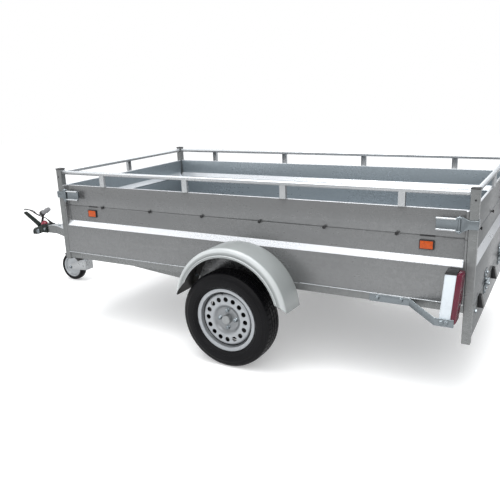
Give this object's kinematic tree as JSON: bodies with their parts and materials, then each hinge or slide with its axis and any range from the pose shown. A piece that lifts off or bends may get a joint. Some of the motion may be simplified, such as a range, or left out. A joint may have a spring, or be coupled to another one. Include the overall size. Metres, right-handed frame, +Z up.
{
  "type": "single-axle utility trailer",
  "caption": "Galvanised goods trailer with an open box body, top rails, drop gates at both ends, round mudguards, V drawbar, ball coupling and jockey wheel.",
  "frame": {"origin": "on the ground at the bottom centre of the whole", "axes": "+X towards the coupling, +Y to the left, +Z up"},
  "size_m": [3.7858, 1.7536, 1.041],
  "materials": {
    "black_plastic": "black moulded plastic",
    "cable_black": "black cable sheath",
    "coupling_dark": "dark painted pressing",
    "floor_sheet": "galvanised floor sheet",
    "galvanised_frame": "hot-dip galvanised section, satin",
    "galvanised_panel": "hot-dip galvanised sheet, satin grey",
    "galvanised_tube": "bright galvanised tube",
    "hub_steel": "hub and bolts",
    "lamp_red": "dark red lens",
    "lamp_white": "white lamp housing",
    "mudguard_plastic": "silver-grey moulded plastic",
    "plug_grey": "grey plastic plug",
    "red_plastic": "red plastic cap",
    "reflector_amber": "amber reflector",
    "tyre_rubber": "black rubber",
    "wheel_silver": "silver wheel paint",
    "zinc_hardware": "bluish bright zinc plate"
  },
  "bodies": {
    "root": {"axle_beam": "galvanised_frame", "cable_gland": "black_plastic", "cable_plug": "plug_grey", "chassis_frame": "galvanised_frame", "corner_posts": "galvanised_frame", "coupling_bolts": "zinc_hardware", "coupling_dome": "red_plastic", "coupling_handle": "coupling_dark", "coupling_head": "coupling_dark", "drawbar": "galvanised_frame", "front_gate_fixed_hinges": "zinc_hardware", "gate_stops": "black_plastic", "jockey_clamp": "galvanised_frame", "lamp_brackets": "zinc_hardware", "latch_keepers": "zinc_hardware", "load_floor": "floor_sheet", "mudguard_left": "mudguard_plastic", "mudguard_right": "mudguard_plastic", "plug_holder": "black_plastic", "post_caps": "black_plastic", "rear_valance": "galvanised_panel", "side_rail_left": "galvanised_tube", "side_rail_right": "galvanised_tube", "side_reflectors": "reflector_amber", "side_wall_left": "galvanised_panel", "side_wall_right": "galvanised_panel", "tail_lamp_lenses": "lamp_red", "tail_lamps": "lamp_white", "tailgate_fixed_hinges": "zinc_hardware", "torsion_arm_left": "galvanised_frame", "torsion_arm_right": "galvanised_frame", "trailer_cable": "cable_black"},
    "wheel_left": {"tyre_left": "tyre_rubber", "rim_left": "wheel_silver", "hub_left": "hub_steel"},
    "wheel_right": {"tyre_right": "tyre_rubber", "rim_right": "wheel_silver", "hub_right": "hub_steel"},
    "tailgate": {"tailgate_panel": "galvanised_panel", "tailgate_rail": "galvanised_tube", "tailgate_hinges": "zinc_hardware", "tailgate_latches": "zinc_hardware"},
    "front_gate": {"front_gate_panel": "galvanised_panel", "front_gate_rail": "galvanised_tube", "front_gate_hinges": "zinc_hardware", "front_gate_latches": "zinc_hardware"},
    "jockey_leg": {"jockey_outer_tube": "galvanised_tube", "jockey_crank": "galvanised_tube"},
    "jockey_slide": {"jockey_inner_tube": "galvanised_tube"},
    "jockey_swivel_fork": {"jockey_fork": "galvanised_tube", "jockey_guard": "black_plastic"},
    "jockey_wheel": {"jockey_tyre": "tyre_rubber", "jockey_rim": "wheel_silver"}
  },
  "joints": [
    {"name": "wheel_left_spin", "type": "hinge", "parent": "root", "child": "wheel_left", "pos_m": [-0.6171, 0.79, 0.2735], "axis": [0, 1, 0], "continuous": true},
    {"name": "wheel_right_spin", "type": "hinge", "parent": "root", "child": "wheel_right", "pos_m": [-0.6171, -0.79, 0.2735], "axis": [0, 1, 0], "continuous": true},
    {"name": "tailgate_drop", "type": "hinge", "parent": "root", "child": "tailgate", "pos_m": [-1.8756, 0, 0.488], "axis": [0, -1, 0], "range_deg": [0, 140]},
    {"name": "front_gate_drop", "type": "hinge", "parent": "root", "child": "front_gate", "pos_m": [0.7294, 0, 0.488], "axis": [0, 1, 0], "range_deg": [0, 60]},
    {"name": "jockey_clamp_slide", "type": "slide", "parent": "root", "child": "jockey_leg", "axis": [0, 0, 1], "range_m": [0, 0.08]},
    {"name": "jockey_screw", "type": "slide", "parent": "jockey_leg", "child": "jockey_slide", "axis": [0, 0, -1], "range_m": [-0.065, 0.11]},
    {"name": "jockey_swivel", "type": "hinge", "parent": "jockey_slide", "child": "jockey_swivel_fork", "pos_m": [1.2329, 0, 0.1055], "axis": [0, 0, 1], "continuous": true},
    {"name": "jockey_wheel_spin", "type": "hinge", "parent": "jockey_swivel_fork", "child": "jockey_wheel", "pos_m": [1.3789, 0, 0.114], "axis": [0, 1, 0], "continuous": true}
  ]
}
